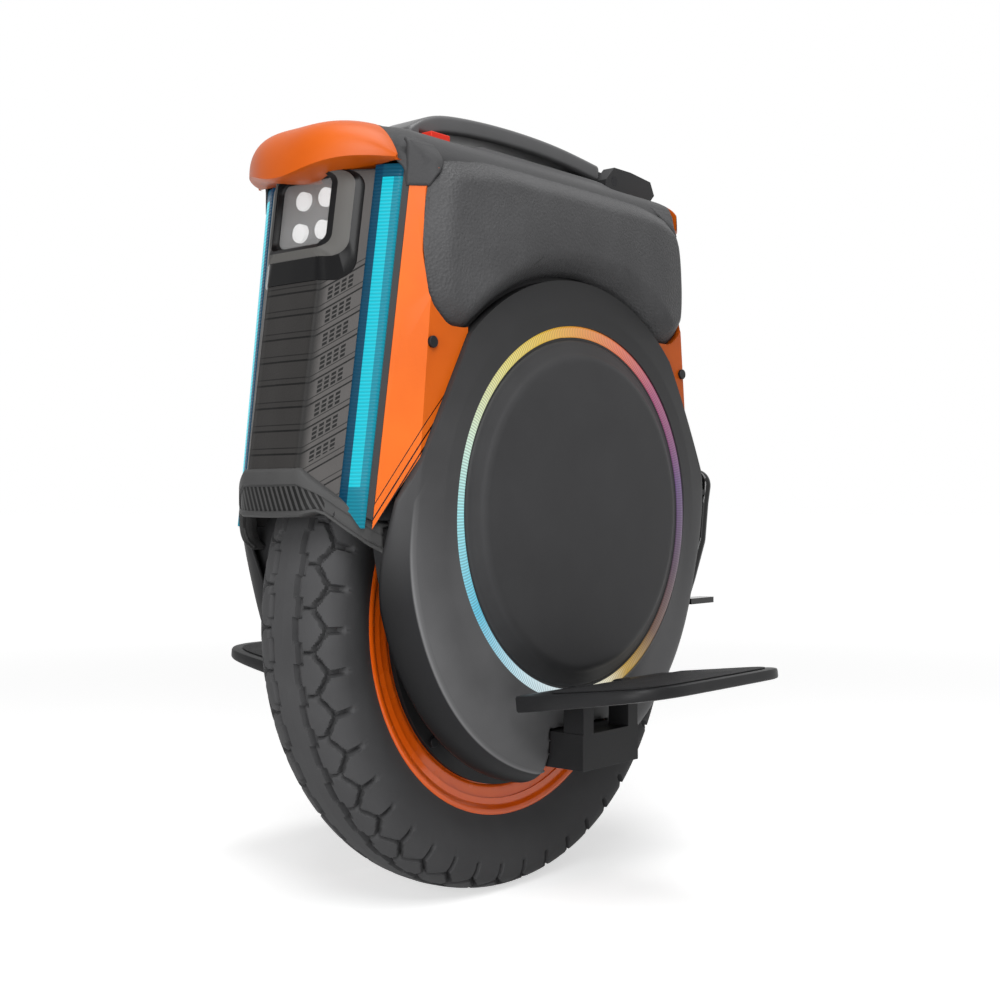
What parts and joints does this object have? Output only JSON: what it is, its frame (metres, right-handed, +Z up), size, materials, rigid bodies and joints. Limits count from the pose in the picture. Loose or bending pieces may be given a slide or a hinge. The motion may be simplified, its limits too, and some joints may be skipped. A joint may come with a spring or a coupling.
{
  "type": "electric unicycle",
  "caption": "Electric unicycle with a hub-motor wheel in an upright padded body, folding side pedals, carry handle, headlight, side light rings and rear kickstand.",
  "frame": {"origin": "on the ground straight under the axle, in the middle plane", "axes": "+X forward to the headlight, +Y to the rider's left, +Z up"},
  "size_m": [0.4555, 0.4402, 0.585],
  "materials": {
    "tyre_rubber": "matte black tread rubber",
    "tube_rubber": "butyl rubber",
    "rim_orange": "glossy orange paint on cast aluminium",
    "magnet": "nickel plated",
    "motor_cover": "black powder coat",
    "black_steel": "black oxide",
    "steel": "ground steel",
    "laminations": "stacked electrical steel",
    "copper": "enamelled wire",
    "cable_rubber": "silicone sheath",
    "frame_aluminium": "plain plate",
    "hanger_alloy": "black powder coat on cast alloy",
    "battery_wrap": "shrink wrap",
    "sink_aluminium": "extruded",
    "board_green": "solder mask",
    "shell_black": "fine moulded grain",
    "disc_black": "satin moulded",
    "ring_light": "translucent diffuser",
    "pad_leather": "soft grained cover over foam",
    "panel_orange": "satin orange",
    "front_grey": "coarse moulded grain",
    "bar_light": "translucent light guide",
    "bezel_gloss": "gloss black",
    "lens": "clear lens",
    "led_light": "LED emitter",
    "nose_grey": "moulded grain",
    "visor_orange": "satin orange",
    "top_grain": "moulded grain",
    "tail_red": "red lens",
    "cap_rubber": "soft cap",
    "handle_grey": "satin grey",
    "tab_red": "satin red",
    "button_black": "satin black",
    "pedal_black": "black powder coat on cast alloy",
    "grip_rubber": "gritty rubber sheet",
    "stand_black": "gloss black paint on steel"
  },
  "bodies": {
    "chassis": {"axle": "steel", "axle_nuts": "black_steel", "battery_packs": "battery_wrap", "body_shell_left": "shell_black", "body_shell_right": "shell_black", "charge_port": "shell_black", "controller_board": "board_green", "frame_plates": "frame_aluminium", "front_panel": "front_grey", "handle_block": "shell_black", "handle_pin": "steel", "headlight_bezel": "bezel_gloss", "headlight_housing": "shell_black", "headlight_leds": "led_light", "headlight_lens": "lens", "heat_sink": "sink_aluminium", "kickstand_brackets": "stand_black", "led_rings": "ring_light", "leg_pad_left": "pad_leather", "leg_pad_right": "pad_leather", "light_bars": "bar_light", "lower_cover_left": "shell_black", "lower_cover_right": "shell_black", "motor_cable": "cable_rubber", "nose_guard": "nose_grey", "panel_screws": "black_steel", "pedal_hangers": "hanger_alloy", "pedal_pins": "steel", "rear_cover": "shell_black", "rear_side_panels": "panel_orange", "side_disc_left": "disc_black", "side_disc_right": "disc_black", "side_panel_left": "panel_orange", "side_panel_right": "panel_orange", "stator_core": "laminations", "stator_windings": "copper", "tail_cap": "visor_orange", "tail_light": "tail_red", "top_cover": "top_grain", "visor": "visor_orange", "wheel_arch": "shell_black"},
    "wheel": {"tyre": "tyre_rubber", "inner_tube": "tube_rubber", "rim": "rim_orange", "valve_stem": "steel", "rotor_magnets": "magnet", "motor_cover_left": "motor_cover", "motor_cover_right": "motor_cover", "motor_cover_screws": "black_steel", "wheel_bearings": "steel"},
    "left_pedal": {"pedal_left": "pedal_black", "pedal_grip_left": "grip_rubber"},
    "right_pedal": {"pedal_right": "pedal_black", "pedal_grip_right": "grip_rubber"},
    "handle": {"carry_handle": "handle_grey"},
    "release": {"release_tab": "tab_red"},
    "button": {"power_button": "button_black"},
    "stand": {"kickstand": "stand_black"},
    "cap": {"charge_cap": "cap_rubber"}
  },
  "joints": [
    {"name": "wheel_spin", "type": "hinge", "parent": "chassis", "child": "wheel", "pos_m": [0, 0, 0.21], "axis": [0, 1, 0], "continuous": true},
    {"name": "left_pedal_fold", "type": "hinge", "parent": "chassis", "child": "left_pedal", "pos_m": [0, 0.109, 0.155], "axis": [1, 0, 0], "range_deg": [0, 78]},
    {"name": "right_pedal_fold", "type": "hinge", "parent": "chassis", "child": "right_pedal", "pos_m": [0, -0.109, 0.155], "axis": [-1, 0, 0], "range_deg": [0, 78]},
    {"name": "handle_lift", "type": "hinge", "parent": "chassis", "child": "handle", "pos_m": [-0.138, 0, 0.567], "axis": [0, -1, 0], "range_deg": [0, 95]},
    {"name": "release_slide", "type": "slide", "parent": "chassis", "child": "release", "axis": [-1, 0, 0], "range_m": [0, 0.004], "stiffness_N_per_m": 600},
    {"name": "button_press", "type": "slide", "parent": "chassis", "child": "button", "axis": [0, 0, -1], "range_m": [0, 0.0015], "stiffness_N_per_m": 800},
    {"name": "stand_swing", "type": "hinge", "parent": "chassis", "child": "stand", "pos_m": [-0.163, 0, 0.16], "axis": [0, -1, 0], "range_deg": [0, 130]},
    {"name": "cap_open", "type": "hinge", "parent": "chassis", "child": "cap", "pos_m": [-0.1929, 0, 0.422], "axis": [0, 1, 0], "range_deg": [0, 110]}
  ]
}
